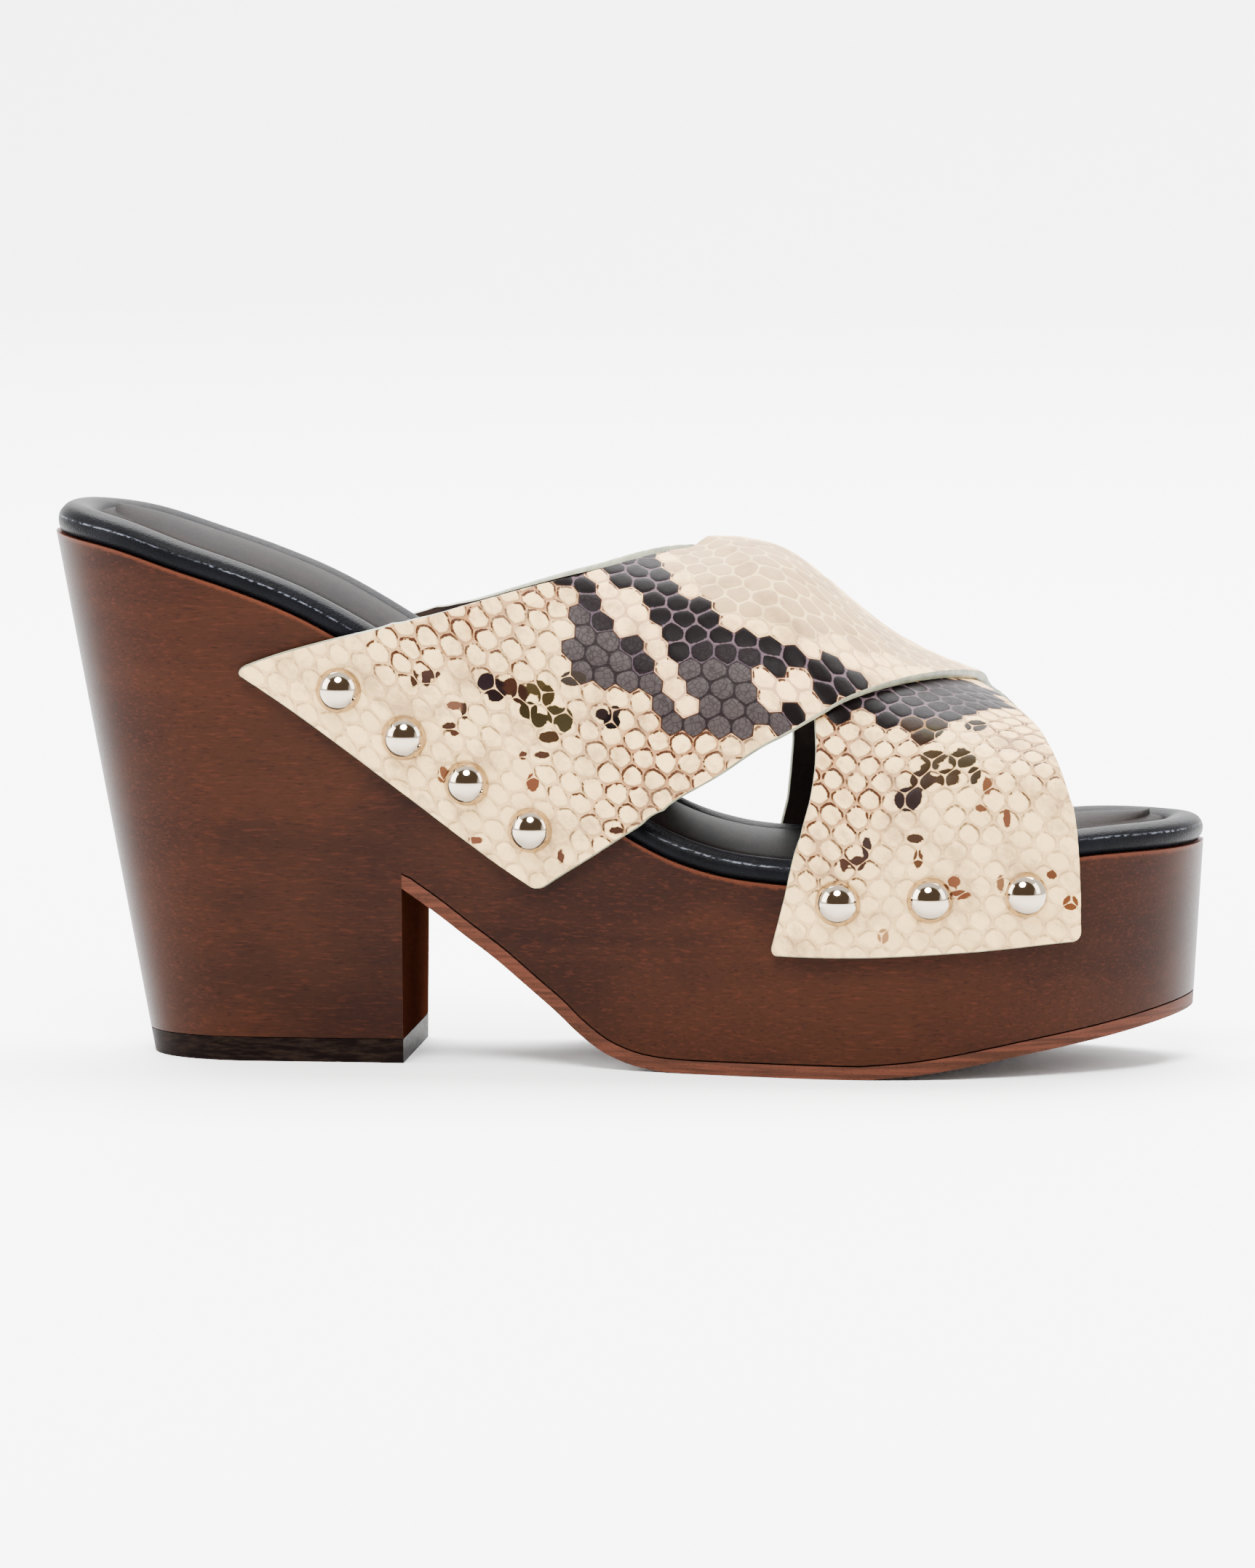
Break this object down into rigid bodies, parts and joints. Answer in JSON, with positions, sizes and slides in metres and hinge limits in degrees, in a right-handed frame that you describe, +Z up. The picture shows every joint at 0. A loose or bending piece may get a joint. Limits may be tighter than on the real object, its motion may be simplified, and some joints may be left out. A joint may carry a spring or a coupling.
{
  "type": "clog sandal",
  "caption": "Open-toe, open-heel clog sandal with a wooden platform and block heel, two crossing leather straps nailed to the wood with domed studs, and a padded footbed.",
  "frame": {"origin": "on the floor, under the middle of the shoe's bounding box", "axes": "+X from heel to toe, -Y to the outer side of a right foot, +Z up"},
  "size_m": [0.2314, 0.0962, 0.1112],
  "materials": {
    "wood": "dark red-brown stain, satin",
    "outsole": "tan brown, matt",
    "heel_lift": "near-black brown, satin",
    "footbed_leather": "black, satin",
    "sock_leather": "black, satin",
    "strap_leather": "cream scale print, glossy",
    "stud_metal": "polished pale gold"
  },
  "bodies": {
    "root": {"wood_sole": "wood", "outsole": "outsole", "heel_lift": "heel_lift", "footbed": "footbed_leather", "sock": "sock_leather", "upper": "strap_leather", "stud_rear_lateral_1": "stud_metal", "stud_rear_lateral_2": "stud_metal", "stud_rear_lateral_3": "stud_metal", "stud_rear_lateral_4": "stud_metal", "stud_front_lateral_1": "stud_metal", "stud_front_lateral_2": "stud_metal", "stud_front_lateral_3": "stud_metal", "stud_rear_medial_1": "stud_metal", "stud_rear_medial_2": "stud_metal", "stud_rear_medial_3": "stud_metal", "stud_rear_medial_4": "stud_metal", "stud_front_medial_1": "stud_metal", "stud_front_medial_2": "stud_metal", "stud_front_medial_3": "stud_metal"}
  },
  "joints": []
}
